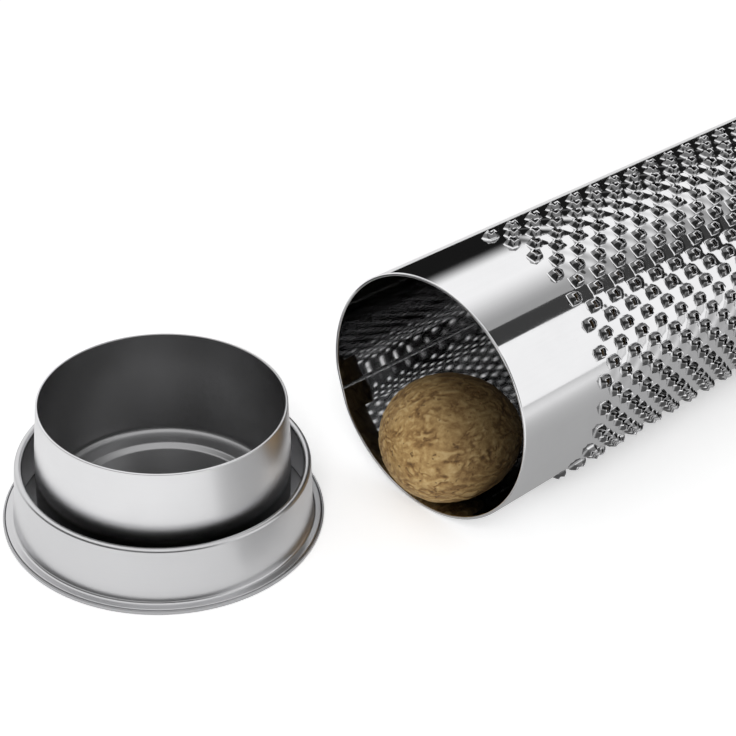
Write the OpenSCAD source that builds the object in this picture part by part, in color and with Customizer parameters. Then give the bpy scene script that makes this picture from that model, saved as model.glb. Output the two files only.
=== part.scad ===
// Tube nutmeg grater of sheet steel: a toothed storage tube that lies on the table, its lift-off
// lid standing in front of the mouth, and one nutmeg lying in the mouth.
// +X runs into the tube from its open mouth, +Z is up, and the mouth's lower front side faces -Y.

/* [Tube] */
// Length of the tube from its open mouth to its closed end
tube_length = 125; // [100:1:160]
// Outside diameter of the plain wall
tube_diameter = 38; // [34:0.5:50]
// Thickness of the tube's sheet
tube_wall = 0.5; // [0.4:0.1:0.8]
// Angle of the welded butt seam, from the top round through the front
seam_angle = 248; // [220:1:290]
// Width of the fine groove along the seam
seam_width = 0.16; // [0.1:0.02:0.4]
// Depth of the seam's groove, inside and outside
seam_depth = 0.12; // [0.05:0.01:0.18]

/* [Teeth] */
// Distance from the mouth to the middle of the first ring of teeth
plain_mouth = 17; // [12:0.5:25]
// Least plain length behind the last ring of teeth
plain_end = 14; // [10:0.5:25]
// Distance between two teeth of one line, along the tube
tooth_pitch = 4.73; // [4.6:0.01:6]
// Distance between neighbouring lines of teeth, round the wall
line_pitch = 2.13; // [2.12:0.01:2.6]
// Number of lines of teeth
line_count = 27; // [9:2:31]
// Angle of the middle line of teeth, from the top round through the front
field_angle = 68; // [40:1:100]
// Side of a tooth's square foot
tooth_foot = 2.1; // [1.6:0.05:2.1]
// Height of a tooth over the wall
tooth_height = 1.2; // [0.8:0.05:1.5]
// Side of a tooth's square lip
tooth_lip = 0.8; // [0.7:0.05:1]
// Side of the hole through a tooth, at its lip
tooth_hole = 0.6; // [0.4:0.05:0.6]
// Side of the dimple behind a tooth, at the bore
tooth_dimple = 1.5; // [1:0.05:1.6]

/* [End cap] */
// Thickness of the end cap's sheet
cap_sheet = 0.5; // [0.4:0.1:0.8]
// Depth of the cap's collar inside the tube
cap_depth = 6; // [4:0.5:9]
// Height of the cap's crown
cap_crown = 1.5; // [0.5:0.1:3]
// Clearance between the cap's collar and the bore
cap_clearance = 0.05; // [0.02:0.01:0.1]

/* [Lid] */
// Height of the lid, from its base to the rim of its cup
lid_height = 19.5; // [16:0.5:28]
// Thickness of the cup's and the skirt's sheet
lid_sheet = 0.4; // [0.3:0.1:0.6]
// Thickness of the base plate
plate_sheet = 0.3; // [0.2:0.1:0.5]
// Clearance between the cup and the tube's bore
cup_clearance = 0.1; // [0.05:0.01:0.3]
// How far the cup's wall draws in at its rim
cup_lead = 0.7; // [0.3:0.1:1.2]
// Height of the drawn-in stretch under the rim
cup_lead_height = 9; // [5:0.5:12]
// Radius of the cup's lower edge
cup_fillet = 1.6; // [1:0.1:3]
// Width of the raised border of the cup's floor
floor_border = 3.6; // [2.5:0.1:6]
// Height of that border over the middle of the floor
floor_step = 0.7; // [0.4:0.1:1.2]
// Height of the skirt, from the table to the top of its bead
skirt_height = 9.5; // [7:0.5:13]
// Room for the tube between its wall and the skirt's bead
skirt_clearance = 1.2; // [0.5:0.1:2]
// Diameter of the rolled bead along the skirt's top
bead_diameter = 1.1; // [0.8:0.1:1.6]
// How much wider the skirt is at its foot than at its bead
skirt_flare = 0.5; // [0.2:0.1:1.5]
// Width of the flat flange round the skirt's foot
flange_width = 1.25; // [0.8:0.05:3]
// Thickness of the base plate's upturned hem
hem_sheet = 0.3; // [0.2:0.1:0.5]
// Clearance between the hem and the flange
hem_clearance = 0.05; // [0.02:0.01:0.1]
// Gap between the lid's edge and the plane of the tube's mouth
lid_ahead = 5.95; // [3:0.05:60]
// Sideways distance of the lid's middle from the tube's axis
lid_aside = 23.3; // [0:0.1:40]

/* [Nutmeg] */
// Length of the nutmeg
nutmeg_length = 21.8; // [18:0.2:24]
// Diameter of the nutmeg
nutmeg_diameter = 19.5; // [15:0.1:20.5]
// Turn of the nutmeg's long axis away from the tube's axis
nutmeg_turn = -28; // [-90:1:90]
// How far the nutmeg's middle lies inside the mouth
nutmeg_inside = 4.9; // [4:0.1:90]
// How far the nutmeg's middle lies in front of the tube's axis
nutmeg_forward = 1.3; // [-2:0.1:2]
// Clearance between the nutmeg and the bore
nutmeg_clearance = 0.35; // [0.3:0.05:1]

/* [Hidden] */
$fn = 96;

// Overrun of every cut past the face that it opens
overrun = 0.1;
// Depth to which a tooth's foot is sunk into the wall
tooth_root = 0.1;
// Steps in a quarter turn of a rounded outline
quarter_steps = 8;
// Steps along the nutmeg's outline
nutmeg_steps = 28;
// Share by which the nutmeg's outer half is fuller than its inner half
nutmeg_fullness_share = 0.06;

tube_radius = tube_diameter / 2;
bore_radius = tube_radius - tube_wall;

// Teeth: odd lines start one half pitch further in than even ones
line_turn = line_pitch / tube_radius * 180 / PI;
line_middle = (line_count - 1) / 2;
field_length = tube_length - plain_mouth - plain_end;
function tooth_angle(line) = field_angle + (line - line_middle) * line_turn;
function line_start(line) = plain_mouth + (line % 2) * tooth_pitch / 2;
function teeth_in(line) = 1 + floor((field_length - (line % 2) * tooth_pitch / 2) / tooth_pitch);
hole_slope = (tooth_dimple - tooth_hole) / 2 / (tooth_height + tube_wall);
hole_apex = tooth_height + tooth_hole / 2 / hole_slope;

// End cap
collar_radius = bore_radius - cap_clearance;
crown_radius = (collar_radius * collar_radius + cap_crown * cap_crown) / (2 * cap_crown);

// Lid: its radii follow the tube's bore and wall
cup_radius = bore_radius - cup_clearance;
cup_rim_radius = cup_radius - cup_lead;
floor_radius = cup_radius - floor_border;
bead_radius = bead_diameter / 2;
skirt_radius = tube_radius + skirt_clearance + bead_diameter;
skirt_foot_radius = skirt_radius + skirt_flare;
flange_radius = skirt_foot_radius + flange_width;
base_radius = flange_radius + hem_clearance + hem_sheet;
flange_top = plate_sheet + lid_sheet;

// Frame: the origin is the middle of the whole part's footprint, on the table
lid_offset = base_radius + lid_ahead;
teeth_reach = max([for (line = [0 : line_count - 1])
    (tube_radius + tooth_height) * sin(tooth_angle(line)) + tooth_lip / 2 * abs(cos(tooth_angle(line)))]);
tube_far_end = tube_length + cap_sheet + cap_crown;
lid_near_end = -lid_offset - base_radius;
front_reach = max(teeth_reach, tube_radius, base_radius - lid_aside);
back_reach = max(tube_radius, lid_aside + base_radius);
mouth_x = -(tube_far_end + lid_near_end) / 2;
axis_y = (front_reach - back_reach) / 2;

// Nutmeg: it lies in the bottom of the bore
nutmeg_radius = nutmeg_diameter / 2;
nutmeg_swing = bore_radius - nutmeg_clearance - nutmeg_radius;
nutmeg_drop = sqrt(nutmeg_swing * nutmeg_swing - nutmeg_forward * nutmeg_forward);

// Puts a child that is drawn upright round Z on the tube's axis, with its foot at the mouth
module along_tube() {
    translate([mouth_x, axis_y, tube_radius])
        rotate([0, 90, 0])
            children();
}

// Puts a child at a place of the wall: distance from the mouth, angle from the top, +Z outwards
module on_wall(distance, angle) {
    translate([mouth_x + distance, axis_y, tube_radius])
        rotate([angle, 0, 0])
            translate([0, 0, tube_radius])
                children();
}

module at_lid() {
    translate([mouth_x - lid_offset, axis_y + lid_aside, 0])
        children();
}

// Square frustum with two sides along X, between two heights
module frustum(low, low_side, high, high_side) {
    function corners(side, height) = [
        [-side / 2, -side / 2, height],
        [side / 2, -side / 2, height],
        [side / 2, side / 2, height],
        [-side / 2, side / 2, height]
    ];
    polyhedron(
        points = concat(corners(low_side, low), corners(high_side, high)),
        faces = [[0, 1, 2, 3], [7, 6, 5, 4], [4, 5, 1, 0], [5, 6, 2, 1], [6, 7, 3, 2], [7, 4, 0, 3]]
    );
}

// Square pyramid that points up
module pyramid(low, low_side, apex) {
    half = low_side / 2;
    polyhedron(
        points = [[-half, -half, low], [half, -half, low], [half, half, low], [-half, half, low], [0, 0, apex]],
        faces = [[0, 1, 2, 3], [4, 1, 0], [4, 2, 1], [4, 3, 2], [4, 0, 3]]
    );
}

// A child at the place of every tooth
module each_tooth() {
    for (line = [0 : line_count - 1])
        for (tooth = [0 : teeth_in(line) - 1])
            on_wall(line_start(line) + tooth * tooth_pitch, tooth_angle(line))
                children();
}

// Outside of one burr, which the punch raises from the sheet
module tooth_outside() {
    foot_growth = (tooth_foot - tooth_lip) / tooth_height * tooth_root;
    frustum(-tooth_root, tooth_foot + foot_growth, tooth_height, tooth_lip);
}

// Tapered hole that the punch leaves behind and through the burr
module tooth_inside() {
    low = -tube_wall - overrun;
    pyramid(low, 2 * hole_slope * (hole_apex - low), hole_apex);
}

module seam_groove(from_radius) {
    translate([mouth_x - overrun, axis_y, tube_radius])
        rotate([seam_angle, 0, 0])
            translate([0, -seam_width / 2, from_radius])
                cube([tube_length + 2 * overrun, seam_width, seam_depth + overrun]);
}

module grating_tube() {
    color("silver")
        difference() {
            union() {
                along_tube()
                    difference() {
                        cylinder(r = tube_radius, h = tube_length);
                        translate([0, 0, -overrun])
                            cylinder(r = bore_radius, h = tube_length + 2 * overrun);
                    }
                each_tooth()
                    tooth_outside();
            }
            each_tooth()
                tooth_inside();
            seam_groove(tube_radius - seam_depth);
            seam_groove(bore_radius - overrun);
        }
}

// Plug cap: a collar in the bore, a lip on the tube's end and a shallow crown
module end_cap() {
    color("gainsboro")
        along_tube()
            translate([0, 0, tube_length])
                rotate_extrude()
                    union() {
                        translate([collar_radius - cap_sheet, -cap_depth])
                            square([cap_sheet, cap_depth + cap_sheet]);
                        translate([collar_radius - cap_sheet, 0])
                            square([tube_radius - collar_radius + cap_sheet, cap_sheet]);
                        crown_section();
                    }
}

// Half section of the crown: the sheet between two equal arcs
module crown_section() {
    difference() {
        intersection() {
            translate([0, cap_sheet + cap_crown - crown_radius])
                circle(r = crown_radius, $fn = 720);
            square([collar_radius, cap_sheet + cap_crown]);
        }
        translate([0, cap_crown - crown_radius])
            circle(r = crown_radius, $fn = 720);
    }
}

// Points of an arc round a centre, between two angles
function arc(centre, radius, from, to, steps) = [
    for (step = [0 : steps])
        let (angle = from + (to - from) * step / steps)
            centre + radius * [cos(angle), sin(angle)]
];

// Base plate with its hem turned up round the flange
module lid_base() {
    color("lightgray")
        at_lid()
            rotate_extrude()
                polygon([
                    [0, 0],
                    [base_radius, 0],
                    [base_radius, flange_top],
                    [base_radius - hem_sheet, flange_top],
                    [base_radius - hem_sheet, plate_sheet],
                    [0, plate_sheet]
                ]);
}

// Flared skirt: a flange on the base plate, a wall, and a bead rolled inwards
module lid_skirt() {
    bead_centre = [skirt_radius - bead_radius, skirt_height - bead_radius];
    inner_top = [skirt_radius - lid_sheet, skirt_height - bead_diameter];
    color("gainsboro")
        at_lid()
            rotate_extrude()
                polygon(concat(
                    [
                        [skirt_foot_radius - lid_sheet, plate_sheet],
                        [flange_radius, plate_sheet],
                        [flange_radius, flange_top],
                        [skirt_foot_radius, flange_top]
                    ],
                    arc(bead_centre, bead_radius, 0, 270, 3 * quarter_steps),
                    [inner_top]
                ));
}

// Half section line of the cup's sheet, from the middle of the floor to the rim
function cup_line(inset) =
    let (
        lift = plate_sheet + inset,
        border = plate_sheet + floor_step + inset,
        wall = cup_radius - inset,
        round_radius = cup_fillet - inset
    )
    concat(
        [[0, lift], [floor_radius - floor_step, lift], [floor_radius, border]],
        arc([wall - round_radius, border + round_radius], round_radius, -90, 0, quarter_steps),
        [[wall, lid_height - cup_lead_height], [cup_rim_radius - inset, lid_height]]
    );

function reversed(list) = [for (step = [1 : len(list)]) list[len(list) - step]];

// Cup that plugs into the bore, with a recessed middle that sits on the base plate
module lid_cup() {
    color("silver")
        at_lid()
            rotate_extrude()
                polygon(concat(cup_line(0), reversed(cup_line(lid_sheet))));
}

// Egg-shaped kernel, blunt at the end that faces out of the mouth
module nutmeg() {
    outline = [
        for (step = [0 : nutmeg_steps])
            let (angle = 180 * step / nutmeg_steps)
                [
                    nutmeg_radius * sin(angle) * (1 + nutmeg_fullness_share * cos(angle)),
                    -nutmeg_length / 2 * cos(angle)
                ]
    ];
    color("peru")
        translate([mouth_x + nutmeg_inside, axis_y - nutmeg_forward, tube_radius - nutmeg_drop])
            rotate([0, 0, nutmeg_turn])
                rotate([0, 90, 0])
                    rotate_extrude()
                        polygon(outline);
}

grating_tube();
end_cap();
lid_base();
lid_skirt();
lid_cup();
nutmeg();
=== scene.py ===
"""Finished look of a tube nutmeg grater: a toothed steel tube, its end cap, its lid and one nutmeg.

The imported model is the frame. Each piece here stands for one node of it and lies where that node lies.
Named sizes are in millimetres and degrees, and meshes are written in metres.
"""

import logging
import math
from collections.abc import Callable
from dataclasses import dataclass, replace
from enum import Enum
from itertools import pairwise

import bmesh
import bpy
from mathutils import Matrix, Vector


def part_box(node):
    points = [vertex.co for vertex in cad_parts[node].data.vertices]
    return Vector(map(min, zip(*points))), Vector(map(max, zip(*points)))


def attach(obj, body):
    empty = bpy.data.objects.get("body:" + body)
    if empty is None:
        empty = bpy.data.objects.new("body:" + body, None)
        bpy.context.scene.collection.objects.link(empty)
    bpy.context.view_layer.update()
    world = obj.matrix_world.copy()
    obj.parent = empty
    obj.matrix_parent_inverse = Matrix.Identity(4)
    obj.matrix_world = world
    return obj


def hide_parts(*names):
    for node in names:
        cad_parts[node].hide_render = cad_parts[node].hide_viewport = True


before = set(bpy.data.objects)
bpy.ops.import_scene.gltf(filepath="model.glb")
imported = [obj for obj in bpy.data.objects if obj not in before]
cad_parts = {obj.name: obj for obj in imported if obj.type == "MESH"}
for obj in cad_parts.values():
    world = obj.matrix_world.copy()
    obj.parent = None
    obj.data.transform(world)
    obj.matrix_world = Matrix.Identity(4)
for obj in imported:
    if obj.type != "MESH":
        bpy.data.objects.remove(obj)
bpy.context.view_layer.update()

MM = 0.001
WELD_DISTANCE = 0.002
ALL_SMOOTH = 180.0
WHITE = (1.0, 1.0, 1.0)

log = logging.getLogger("grater")

Colour = tuple[float, float, float]
Point = tuple[float, float]
Point3 = tuple[float, float, float]


def math_method(operation: str, reflected: bool = False) -> Callable[..., "Flow"]:
    """Makes a method of Flow that adds a Math node.

    Args:
        operation: The node's operation.
        reflected: Whether the flow is the node's second value.

    Returns:
        The method.
    """

    def method(flow: "Flow", other: "Flow | float" = 0.0) -> "Flow":
        """Adds the node.

        Args:
            flow: This flow.
            other: The other value, which a node of one value leaves unused.

        Returns:
            The result.
        """
        node = flow.tree.nodes.new("ShaderNodeMath")
        node.operation = operation
        for entry, value in zip(node.inputs, (other, flow) if reflected else (flow, other)):
            feed(flow.tree, value, entry)
        return Flow(flow.tree, node.outputs[0])

    return method


def both_ways(operation: str) -> tuple[Callable[..., "Flow"], Callable[..., "Flow"]]:
    """An operator's method and its reflected form."""
    return math_method(operation), math_method(operation, reflected=True)


class Flow:
    """An output socket of a node that takes part in sums as a number does."""

    def __init__(self, tree: bpy.types.NodeTree, socket: bpy.types.NodeSocket) -> None:
        """Keeps the tree and the output socket."""
        self.tree = tree
        self.socket = socket

    __add__, __radd__ = both_ways("ADD")
    __sub__, __rsub__ = both_ways("SUBTRACT")
    __mul__, __rmul__ = both_ways("MULTIPLY")
    __truediv__, __rtruediv__ = both_ways("DIVIDE")
    __mod__, __rmod__ = both_ways("FLOORED_MODULO")
    __pow__, __rpow__ = both_ways("POWER")
    __abs__ = math_method("ABSOLUTE")
    floor = math_method("FLOOR")
    cosine = math_method("COSINE")
    at_least = math_method("MAXIMUM")
    at_most = math_method("MINIMUM")
    angle_from = math_method("ARCTAN2")


def feed(tree: bpy.types.NodeTree, value: object, entry: bpy.types.NodeSocket) -> None:
    """Links a flow to an input socket, or sets a plain value there.

    Args:
        tree: The node tree.
        value: A flow, a number, a vector, a colour, a text or a data block.
        entry: The input socket.
    """
    if isinstance(value, Flow):
        tree.links.new(value.socket, entry)
    elif entry.type == "RGBA" and len(value) == 3:
        entry.default_value = (*value, 1.0)
    else:
        entry.default_value = value


class Step:
    """A node in a tree, whose outputs are read by name or number."""

    def __init__(self, tree: bpy.types.NodeTree, node: bpy.types.Node) -> None:
        """Keeps the tree and the node."""
        self.tree = tree
        self.node = node

    def __getitem__(self, name: str | int) -> Flow:
        """Finds an output.

        Args:
            name: The output's name or number.

        Returns:
            The output, as a flow.
        """
        if isinstance(name, int):
            return Flow(self.tree, self.node.outputs[name])
        return Flow(self.tree, next(s for s in self.node.outputs if s.name == name and s.enabled))


class Graph:
    """Builds one node tree."""

    def __init__(self, tree: bpy.types.NodeTree) -> None:
        """Takes an empty or a new tree."""
        self.tree = tree

    def add(self, kind: str, settings: dict | None = None, values: dict | None = None) -> Step:
        """Adds a node.

        Args:
            kind: The node's type.
            settings: The node's own properties, which are set first.
            values: Values or flows for its inputs, by name or by number.

        Returns:
            The new node.
        """
        node = self.tree.nodes.new(kind)
        for name, setting in (settings or {}).items():
            setattr(node, name, setting)
        for name, value in (values or {}).items():
            if isinstance(name, int):
                entry = node.inputs[name]
            else:
                entry = next(s for s in node.inputs if s.name == name and s.enabled)
            feed(self.tree, value, entry)
        return Step(self.tree, node)

    def parts(self, vector: Flow) -> tuple[Flow, Flow, Flow]:
        """The three parts of a vector."""
        split = self.add("ShaderNodeSeparateXYZ", values={0: vector})
        return split[0], split[1], split[2]

    def vector(self, x: Flow | float, y: Flow | float, z: Flow | float) -> Flow:
        """A vector of three values."""
        return self.add("ShaderNodeCombineXYZ", values={0: x, 1: y, 2: z})[0]

    def vectors(self, operation: str, first: object, second: object) -> Flow:
        """Adds a Vector Math node with two vectors.

        Args:
            operation: The node's operation.
            first: The first vector.
            second: The second vector, or a factor for SCALE.

        Returns:
            The resulting vector.
        """
        second_name = 3 if operation == "SCALE" else 1
        return self.add("ShaderNodeVectorMath", {"operation": operation}, {0: first, second_name: second})[0]

    def noise(self, place: Flow, spacing: float, detail: float = 2.0, roughness: float = 0.5) -> Flow:
        """Noise between 0 and 1.

        Args:
            place: The place, in metres.
            spacing: Rough width of one bump, in millimetres.
            detail: Number of finer octaves.
            roughness: Strength of the finer octaves.

        Returns:
            The noise's value.
        """
        values = {"Vector": place, "Scale": 1 / (spacing * MM), "Detail": detail, "Roughness": roughness}
        return self.add("ShaderNodeTexNoise", values=values)[0]

    def ramp(self, value: Flow, stops: list[tuple[float, Colour]]) -> Flow:
        """A colour that follows a value.

        Args:
            value: The value, from 0 to 1.
            stops: Places and colours, in rising order.

        Returns:
            The colour.
        """
        step = self.add("ShaderNodeValToRGB", values={0: value})
        elements = step.node.color_ramp.elements
        while len(elements) < len(stops):
            elements.new(1.0)
        for element, (place, colour) in zip(elements, stops):
            element.position = place
            element.color = (*colour, 1.0)
        return step[0]

    def mix(self, factor: Flow | float, first: object, second: object) -> Flow:
        """A colour between two colours."""
        values = {"Factor": factor, "A": first, "B": second}
        return self.add("ShaderNodeMix", {"data_type": "RGBA"}, values)["Result"]

    def smooth(self, value: Flow, low: float, high: float) -> Flow:
        """A smooth step from 0 at the low value to 1 at the high one."""
        values = {"Value": value, "From Min": low, "From Max": high}
        return self.add("ShaderNodeMapRange", {"interpolation_type": "SMOOTHSTEP"}, values)[0]

    def turned(self, place: Flow, angle: Flow | float) -> Flow:
        """A place turned round the upright axis through zero, by radians."""
        values = {"Vector": place, "Axis": (0, 0, 1), "Angle": angle}
        return self.add("ShaderNodeVectorRotate", {"rotation_type": "AXIS_ANGLE"}, values)[0]

    def attribute(self, name: str, output: str = "Fac") -> Flow:
        """A mesh attribute, read by a material."""
        return self.add("ShaderNodeAttribute", {"attribute_name": name})[output]

    def kept(self, kind: str, geometry: Flow, name: str, value: Flow) -> Flow:
        """Geometry that keeps a value of this kind as an attribute."""
        values = {"Geometry": geometry, "Name": name, "Value": value}
        return self.add("GeometryNodeStoreNamedAttribute", {"data_type": kind}, values)["Geometry"]


@dataclass(frozen=True)
class Corner:
    """Corner of an outline, rounded by a radius."""

    across: float
    along: float
    radius: float = 0.0


def arc(centre: Point, radius: float, turn: float, steps: int) -> list[Corner]:
    """Points of an arc that starts straight out from its centre.

    Args:
        centre: The arc's centre.
        radius: Its radius.
        turn: Its angle, in degrees.
        steps: Number of stretches.

    Returns:
        The points as sharp corners.
    """
    angles = [math.radians(turn * step / steps) for step in range(steps + 1)]
    return [Corner(centre[0] + radius * math.cos(a), centre[1] + radius * math.sin(a)) for a in angles]


def rounded(corners: list[Corner], closed: bool, turn_step: float = 9.0) -> list[Point]:
    """Rounds the corners of an outline.

    Args:
        corners: The outline's corners.
        closed: Whether the last corner joins the first one.
        turn_step: Greatest turn between two points of a rounding, in degrees.

    Returns:
        The outline's points.
    """
    points: list[Point] = []
    last = len(corners) - 1
    for index, corner in enumerate(corners):
        here = Vector((corner.across, corner.along))
        if corner.radius == 0 or (not closed and index in (0, last)):
            points.append(tuple(here))
            continue
        before, after = corners[index - 1], corners[(index + 1) % len(corners)]
        back = (Vector((before.across, before.along)) - here).normalized()
        ahead = (Vector((after.across, after.along)) - here).normalized()
        turn = math.pi - back.angle(ahead)
        reach = corner.radius * math.tan(turn / 2)
        middle = here + (back + ahead).normalized() * corner.radius / math.cos(turn / 2)
        start = here + back * reach - middle
        end = here + ahead * reach - middle
        steps = max(1, math.ceil(math.degrees(turn) / turn_step))
        sense = 1 if start.x * end.y - start.y * end.x > 0 else -1
        for step in range(steps + 1):
            angle = sense * turn * step / steps
            cos, sin = math.cos(angle), math.sin(angle)
            spoke = (start.x * cos - start.y * sin, start.x * sin + start.y * cos)
            points.append((middle.x + spoke[0], middle.y + spoke[1]))
    return points


class Shell:
    """Collects the faces of one piece, in millimetres."""

    def __init__(self) -> None:
        """Starts an empty mesh."""
        self.mesh = bmesh.new()

    def grid(self, rows: list[list[Vector]], closed: bool) -> None:
        """Adds faces between rows of points.

        Args:
            rows: Rows with equally many points.
            closed: Whether each row's last point joins its first one.
        """
        lines = [[self.mesh.verts.new(point) for point in row] for row in rows]
        for low, high in pairwise(lines):
            for index in range(len(low) if closed else len(low) - 1):
                after = (index + 1) % len(low)
                self.mesh.faces.new((low[index], low[after], high[after], high[index]))

    def add_mesh(self, mesh: bpy.types.Mesh) -> None:
        """Adds a mesh that is in metres."""
        mesh.transform(Matrix.Scale(1 / MM, 4))
        self.mesh.from_mesh(mesh)

    def weld(self) -> None:
        """Merges points that coincide and turns every face outwards."""
        bmesh.ops.remove_doubles(self.mesh, verts=self.mesh.verts, dist=WELD_DISTANCE)
        bmesh.ops.recalc_face_normals(self.mesh, faces=self.mesh.faces)

    def finish(self, name: str, sharp_angle: float) -> bpy.types.Object:
        """Turns the faces into an object.

        Args:
            name: The object's name.
            sharp_angle: Edges that turn more than this many degrees stay sharp.

        Returns:
            The new object, linked to the scene.
        """
        mesh = bpy.data.meshes.new(name)
        self.mesh.to_mesh(mesh)
        self.mesh.free()
        mesh.transform(Matrix.Scale(MM, 4))
        mesh.shade_smooth()
        mesh.set_sharp_from_angle(angle=math.radians(sharp_angle))
        piece = bpy.data.objects.new(name, mesh)
        bpy.context.scene.collection.objects.link(piece)
        return piece


def turned(
    name: str,
    outline: list[Point],
    origin: Vector,
    closed: bool,
    lies_along_x: bool = False,
    segments: int = 192,
    sharp_angle: float = 50.0,
) -> bpy.types.Object:
    """Turns an outline round an axis.

    Args:
        name: The object's name.
        outline: Distances from the axis and places along it.
        origin: The point on the axis that places are counted from.
        closed: Whether the outline closes on itself; an open one starts and ends on the axis.
        lies_along_x: Whether the axis runs along +X; it runs along +Z otherwise.
        segments: Number of stretches round the axis.
        sharp_angle: Edges that turn more than this many degrees stay sharp.

    Returns:
        The turned piece.
    """
    rows = []
    for across, along in [*outline, outline[0]] if closed else outline:
        turns = [math.tau * step / segments for step in range(segments)]
        spokes = [(across * math.sin(turn), across * math.cos(turn)) for turn in turns]
        rows.append([
            origin + Vector((along, -side, up) if lies_along_x else (up, side, along)) for side, up in spokes
        ])
    shell = Shell()
    shell.grid(rows, closed=True)
    shell.weld()
    return shell.finish(name, sharp_angle)


class Brushing(Enum):
    """Direction of the fine lines that finishing leaves on a sheet."""

    ALONG_THE_TUBE = "along"
    ROUND_THE_LID = "round"


class Surface:
    """A material with one shader, and the places on the piece that wears it."""

    def __init__(self, name: str, centre: Vector) -> None:
        """Makes the material.

        Args:
            name: The material's name.
            centre: The point that places on the piece are measured from, in metres.
        """
        self.material = bpy.data.materials.new(name)
        self.material.use_nodes = True
        self.graph = Graph(self.material.node_tree)
        self.shader = self.material.node_tree.nodes["Principled BSDF"].inputs
        coordinates = self.graph.add("ShaderNodeTexCoord")["Object"]
        self.place = self.graph.vectors("SUBTRACT", coordinates, centre)

    def end(self, shade: Flow, gloss: Flow, relief: Flow) -> bpy.types.Material:
        """Feeds the shader.

        Args:
            shade: The colour.
            gloss: The roughness.
            relief: The height of the fine relief, in metres.

        Returns:
            The material.
        """
        bump = self.graph.add("ShaderNodeBump", values={"Strength": 1.0, "Distance": 1.0, "Height": relief})
        for name, value in (("Base Color", shade), ("Roughness", gloss), ("Normal", bump["Normal"])):
            feed(self.graph.tree, value, self.shader[name])
        return self.material


@dataclass(frozen=True)
class SteelFinish:
    """Look of sheet steel.

    Fine lines, broad ripples and smudges cover it. Set apart are the torn burrs over the wall's radius,
    darker as dull worked metal and as painted shade, with a painted highlight along their lips; the inside
    under the bore's radius, drawn in by a slope, darkened as painted shade; and the groove between the lid's
    cup and skirt, darkened as painted shade.
    """

    name: str
    slot: str
    tone: Colour
    roughness: float
    smudge: float
    brushing: Brushing
    anisotropy: float
    line_spacing: float
    line_depth: float
    ripple_spacing: float
    ripple_depth: float
    line_stretch: float = 0.02
    smudge_spacing: float = 14.0
    smudge_from: float = 0.35
    smudge_full: float = 0.75
    smudge_tone: float = 0.93
    wall_radius: float = 0.0
    burr_from: float = 0.05
    burr_full: float = 0.3
    burr_tone: float = 1.0
    burr_roughness: float = 0.0
    lip_from: float = 0.6
    lip_tone: float = 1.0
    bore_radius: float = 0.0
    bore_tone: float = 1.0
    bore_roughness: float = 0.0
    drawn_from: float = 0.0
    drawn_slope: float = 0.0
    gap_inside: float = 0.1
    gap_radius: float = 0.0
    gap_height: float = 0.0
    gap_fade: float = 1.0
    gap_tone: float = 0.2
    border: float = 0.1

    def dimmed(self, share: float) -> list[float]:
        """The tone, made this much darker."""
        return [share * part for part in self.tone]

    def material(self, centre: Vector, teeth: "Teeth | None" = None) -> bpy.types.Material:
        """Makes the material.

        Args:
            centre: A point on the axis that the lines follow, in metres.
            teeth: The teeth that the sheet swells at, if it is punched.

        Returns:
            The material.
        """
        surface = Surface(self.name, centre)
        graph = surface.graph
        x, y, z = graph.parts(surface.place)
        if self.brushing is Brushing.ROUND_THE_LID:
            from_axis = (x * x + y * y) ** 0.5
            lines_at = graph.vector(from_axis, z, 0.0)
        else:
            from_axis = (y * y + z * z) ** 0.5
            lines_at = graph.vector(x * self.line_stretch, y, z)
        lines = graph.noise(lines_at, self.line_spacing, detail=3.0, roughness=0.7)
        ripple = graph.noise(surface.place, self.ripple_spacing, detail=1.0)
        smudge = graph.noise(surface.place, self.smudge_spacing, detail=4.0, roughness=0.6)
        smudge = graph.smooth(smudge, self.smudge_from, self.smudge_full)
        shade = graph.mix(smudge * 0.5 + lines * 0.5, self.tone, self.dimmed(self.smudge_tone))
        gloss = self.roughness + smudge * self.smudge
        height = lines * (self.line_depth * MM) + ripple * (self.ripple_depth * MM)

        def beyond(value: Flow, low: float, high: float) -> Flow:
            """A smooth step between two places, in millimetres."""
            return graph.smooth(value, low * MM, high * MM)

        if self.wall_radius:
            wall = self.wall_radius
            # Painted shade: the burrs turn darker, partly as dull worked metal and partly as painted shade
            # among the teeth; they also turn rougher.
            burr = beyond(from_axis, wall + self.burr_from, wall + self.burr_full)
            shade = graph.mix(burr, shade, self.dimmed(self.burr_tone))
            # Painted highlight: along the lips the burrs' painted shade gives way to the metal's full tone,
            # which paints bright lines.
            lip = graph.smooth(graph.attribute("lip"), self.lip_from, 1.0)
            shade = graph.mix(lip, shade, self.dimmed(self.lip_tone))
            gloss = gloss + burr * self.burr_roughness
            if teeth:
                outside = beyond(from_axis, wall - 2 * self.border, wall - self.border)
                height = height + teeth.relief(graph, (x, y, z), wall) * outside
        if self.bore_radius:
            # Painted shade: the inside under the bore's radius turns darker.
            upright = from_axis + (z - self.drawn_from * MM).at_least(0.0) * self.drawn_slope
            inside = beyond(upright, self.bore_radius, self.bore_radius - self.border)
            shade = graph.mix(inside, shade, self.dimmed(self.bore_tone))
            gloss = gloss + inside * self.bore_roughness
        if self.gap_radius:
            # Painted shade: the groove between the lid's cup and skirt turns darker.
            gap_shade = beyond(from_axis, self.gap_radius, self.gap_radius - 2 * self.border)
            gap_shade = gap_shade * beyond(z, self.gap_height, self.gap_height - self.gap_fade)
            gap_shade = gap_shade * beyond(from_axis, self.gap_inside - self.border, self.gap_inside)
            shade = graph.mix(gap_shade, shade, self.dimmed(self.gap_tone))
        surface.shader["Metallic"].default_value = 1.0
        surface.shader["Anisotropic"].default_value = self.anisotropy
        return surface.end(shade, gloss, height)


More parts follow.
